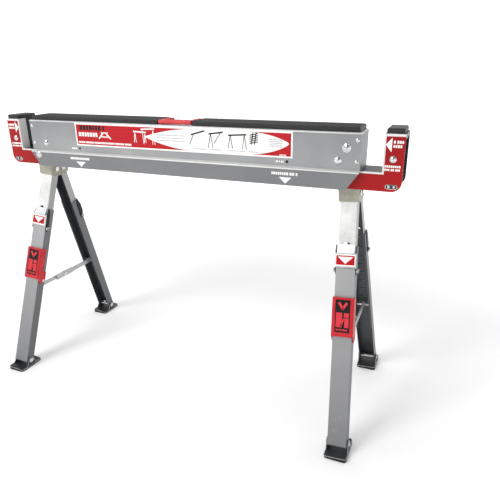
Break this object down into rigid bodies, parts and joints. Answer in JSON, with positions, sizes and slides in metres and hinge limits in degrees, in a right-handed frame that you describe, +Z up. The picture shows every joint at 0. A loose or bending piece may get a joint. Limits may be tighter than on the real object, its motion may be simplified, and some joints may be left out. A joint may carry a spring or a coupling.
{
  "type": "folding sawhorse",
  "caption": "Folding steel sawhorse: box beam with padded top, carry handle and joist arms, on two splayed pairs of telescoping legs that swing up inside the beam.",
  "frame": {"origin": "on the floor under the middle of the beam, legs open and at their shortest", "axes": "+X along the beam towards the pair that folds first, +Y to the rear, +Z up"},
  "size_m": [0.99, 0.414, 0.6452],
  "materials": {
    "grey_enamel": "satin",
    "bright_steel": "satin",
    "red_enamel": "gloss",
    "black_rubber": "matte",
    "red_plastic": "satin",
    "zinc_steel": "satin",
    "grey_leg_enamel": "satin",
    "black_enamel": "satin"
  },
  "bodies": {
    "beam": {"beam_shell": "grey_enamel", "end_plate_left": "zinc_steel", "end_plate_right": "zinc_steel", "end_plate_rivets": "bright_steel", "guide_rivets": "bright_steel", "top_pad_left": "black_rubber", "top_pad_right": "black_rubber", "support_arm_left": "red_enamel", "support_arm_right": "red_enamel", "arm_pads": "black_rubber", "arm_bolts": "bright_steel", "swing_pins": "bright_steel", "swing_spacers": "bright_steel", "handle_lugs": "zinc_steel", "handle_pin": "bright_steel"},
    "handle": {"carry_handle": "red_plastic"},
    "head_left": {"head_left": "zinc_steel", "hinge_pins_left": "bright_steel"},
    "upper_rear_left": {"upper_leg_rear_left": "zinc_steel", "brace_pin_rear_left": "bright_steel"},
    "lower_rear_left": {"lower_leg_rear_left": "grey_leg_enamel", "leg_pins_rear_left": "bright_steel"},
    "latch_rear_left": {"height_latch_rear_left": "zinc_steel"},
    "foot_rear_left": {"foot_bracket_rear_left": "black_enamel", "foot_sole_rear_left": "black_rubber"},
    "brace_rear_left": {"brace_link_rear_left": "zinc_steel", "brace_rivet_rear_left": "bright_steel"},
    "upper_front_left": {"upper_leg_front_left": "zinc_steel", "brace_pin_front_left": "bright_steel"},
    "lower_front_left": {"lower_leg_front_left": "grey_leg_enamel", "leg_pins_front_left": "bright_steel"},
    "latch_front_left": {"height_latch_front_left": "zinc_steel"},
    "lever_front_left": {"lock_lever_front_left": "red_plastic"},
    "foot_front_left": {"foot_bracket_front_left": "black_enamel", "foot_sole_front_left": "black_rubber"},
    "brace_front_left": {"brace_link_front_left": "zinc_steel", "brace_rivet_front_left": "bright_steel"},
    "head_right": {"head_right": "zinc_steel", "hinge_pins_right": "bright_steel"},
    "upper_front_right": {"upper_leg_front_right": "zinc_steel", "brace_pin_front_right": "bright_steel"},
    "lower_front_right": {"lower_leg_front_right": "grey_leg_enamel", "leg_pins_front_right": "bright_steel"},
    "latch_front_right": {"height_latch_front_right": "zinc_steel"},
    "lever_front_right": {"lock_lever_front_right": "red_plastic"},
    "foot_front_right": {"foot_bracket_front_right": "black_enamel", "foot_sole_front_right": "black_rubber"},
    "brace_front_right": {"brace_link_front_right": "zinc_steel", "brace_rivet_front_right": "bright_steel"},
    "upper_rear_right": {"upper_leg_rear_right": "zinc_steel", "brace_pin_rear_right": "bright_steel"},
    "lower_rear_right": {"lower_leg_rear_right": "grey_leg_enamel", "leg_pins_rear_right": "bright_steel"},
    "latch_rear_right": {"height_latch_rear_right": "zinc_steel"},
    "foot_rear_right": {"foot_bracket_rear_right": "black_enamel", "foot_sole_rear_right": "black_rubber"},
    "brace_rear_right": {"brace_link_rear_right": "zinc_steel", "brace_rivet_rear_right": "bright_steel"}
  },
  "joints": [
    {"name": "handle_flip", "type": "hinge", "parent": "beam", "child": "handle", "pos_m": [0, 0.023, 0.64123], "axis": [1, 0, 0], "range_deg": [-95, 0]},
    {"name": "swing_left", "type": "hinge", "parent": "beam", "child": "head_left", "pos_m": [-0.39084, 0, 0.55223], "axis": [0, -1, 0], "range_deg": [0, 94.3]},
    {"name": "spread_rear_left", "type": "hinge", "parent": "head_left", "child": "upper_rear_left", "pos_m": [-0.394, 0.0114, 0.51023], "axis": [-0.9972, 0, 0.075], "range_deg": [0, 18.3]},
    {"name": "extend_rear_left", "type": "slide", "parent": "upper_rear_left", "child": "lower_rear_left", "axis": [0.0712, -0.314, 0.9468], "range_m": [-0.1778, 0]},
    {"name": "latch_rear_left", "type": "hinge", "parent": "lower_rear_left", "child": "latch_rear_left", "pos_m": [-0.40506, 0.06861, 0.36315], "axis": [0.9972, 0, -0.075], "range_deg": [-25, 0], "stiffness_Nm_per_rad": 0.4, "springref_deg": 20.05},
    {"name": "foot_rear_left", "type": "hinge", "parent": "lower_rear_left", "child": "foot_rear_left", "pos_m": [-0.43086, 0.17399, 0.02], "axis": [0.9972, 0, -0.075], "range_deg": [0, 108.3]},
    {"name": "brace_rear_left", "type": "hinge", "parent": "upper_rear_left", "child": "brace_rear_left", "pos_m": [-0.41721, 0.11376, 0.20159], "axis": [-0.9972, 0, 0.075], "range_deg": [0, 65.95]},
    {"name": "spread_front_left", "type": "hinge", "parent": "head_left", "child": "upper_front_left", "pos_m": [-0.394, -0.0114, 0.51023], "axis": [0.9972, 0, -0.075], "range_deg": [0, 18.3]},
    {"name": "extend_front_left", "type": "slide", "parent": "upper_front_left", "child": "lower_front_left", "axis": [0.0712, 0.314, 0.9468], "range_m": [-0.1778, 0]},
    {"name": "latch_front_left", "type": "hinge", "parent": "lower_front_left", "child": "latch_front_left", "pos_m": [-0.40506, -0.06861, 0.36315], "axis": [-0.9972, 0, 0.075], "range_deg": [-25, 0], "stiffness_Nm_per_rad": 0.4, "springref_deg": 20.05},
    {"name": "lever_front_left", "type": "hinge", "parent": "lower_front_left", "child": "lever_front_left", "pos_m": [-0.41528, -0.10212, 0.22716], "axis": [-0.9972, 0, 0.075], "range_deg": [-35, 0]},
    {"name": "foot_front_left", "type": "hinge", "parent": "lower_front_left", "child": "foot_front_left", "pos_m": [-0.43086, -0.17399, 0.02], "axis": [-0.9972, 0, 0.075], "range_deg": [0, 108.3]},
    {"name": "brace_front_left", "type": "hinge", "parent": "upper_front_left", "child": "brace_front_left", "pos_m": [-0.41721, -0.11376, 0.20159], "axis": [0.9972, 0, -0.075], "range_deg": [0, 65.95]},
    {"name": "swing_right", "type": "hinge", "parent": "beam", "child": "head_right", "pos_m": [0.38682, 0, 0.60573], "axis": [0, 1, 0], "range_deg": [0, 94.3]},
    {"name": "spread_front_right", "type": "hinge", "parent": "head_right", "child": "upper_front_right", "pos_m": [0.394, -0.0114, 0.51023], "axis": [0.9972, 0, 0.075], "range_deg": [0, 18.3]},
    {"name": "extend_front_right", "type": "slide", "parent": "upper_front_right", "child": "lower_front_right", "axis": [-0.0712, 0.314, 0.9468], "range_m": [-0.1778, 0]},
    {"name": "latch_front_right", "type": "hinge", "parent": "lower_front_right", "child": "latch_front_right", "pos_m": [0.40506, -0.06861, 0.36315], "axis": [-0.9972, 0, -0.075], "range_deg": [-25, 0], "stiffness_Nm_per_rad": 0.4, "springref_deg": 20.05},
    {"name": "lever_front_right", "type": "hinge", "parent": "lower_front_right", "child": "lever_front_right", "pos_m": [0.41528, -0.10212, 0.22716], "axis": [-0.9972, 0, -0.075], "range_deg": [-35, 0]},
    {"name": "foot_front_right", "type": "hinge", "parent": "lower_front_right", "child": "foot_front_right", "pos_m": [0.43086, -0.17399, 0.02], "axis": [-0.9972, 0, -0.075], "range_deg": [0, 108.3]},
    {"name": "brace_front_right", "type": "hinge", "parent": "upper_front_right", "child": "brace_front_right", "pos_m": [0.41721, -0.11376, 0.20159], "axis": [0.9972, 0, 0.075], "range_deg": [0, 65.95]},
    {"name": "spread_rear_right", "type": "hinge", "parent": "head_right", "child": "upper_rear_right", "pos_m": [0.394, 0.0114, 0.51023], "axis": [-0.9972, 0, -0.075], "range_deg": [0, 18.3]},
    {"name": "extend_rear_right", "type": "slide", "parent": "upper_rear_right", "child": "lower_rear_right", "axis": [-0.0712, -0.314, 0.9468], "range_m": [-0.1778, 0]},
    {"name": "latch_rear_right", "type": "hinge", "parent": "lower_rear_right", "child": "latch_rear_right", "pos_m": [0.40506, 0.06861, 0.36315], "axis": [0.9972, 0, 0.075], "range_deg": [-25, 0], "stiffness_Nm_per_rad": 0.4, "springref_deg": 20.05},
    {"name": "foot_rear_right", "type": "hinge", "parent": "lower_rear_right", "child": "foot_rear_right", "pos_m": [0.43086, 0.17399, 0.02], "axis": [0.9972, 0, 0.075], "range_deg": [0, 108.3]},
    {"name": "brace_rear_right", "type": "hinge", "parent": "upper_rear_right", "child": "brace_rear_right", "pos_m": [0.41721, 0.11376, 0.20159], "axis": [-0.9972, 0, -0.075], "range_deg": [0, 65.95]}
  ],
  "couplings": [
    {"joint": "spread_rear_left", "follows": "swing_left", "ratio": 0.19406},
    {"joint": "foot_rear_left", "follows": "swing_left", "ratio": 1.1485},
    {"joint": "brace_rear_left", "follows": "swing_left", "ratio": 0.69935},
    {"joint": "spread_front_left", "follows": "swing_left", "ratio": 0.19406},
    {"joint": "foot_front_left", "follows": "swing_left", "ratio": 1.1485},
    {"joint": "brace_front_left", "follows": "swing_left", "ratio": 0.69935},
    {"joint": "spread_front_right", "follows": "swing_right", "ratio": 0.19406},
    {"joint": "foot_front_right", "follows": "swing_right", "ratio": 1.1485},
    {"joint": "brace_front_right", "follows": "swing_right", "ratio": 0.69935},
    {"joint": "spread_rear_right", "follows": "swing_right", "ratio": 0.19406},
    {"joint": "foot_rear_right", "follows": "swing_right", "ratio": 1.1485},
    {"joint": "brace_rear_right", "follows": "swing_right", "ratio": 0.69935}
  ]
}
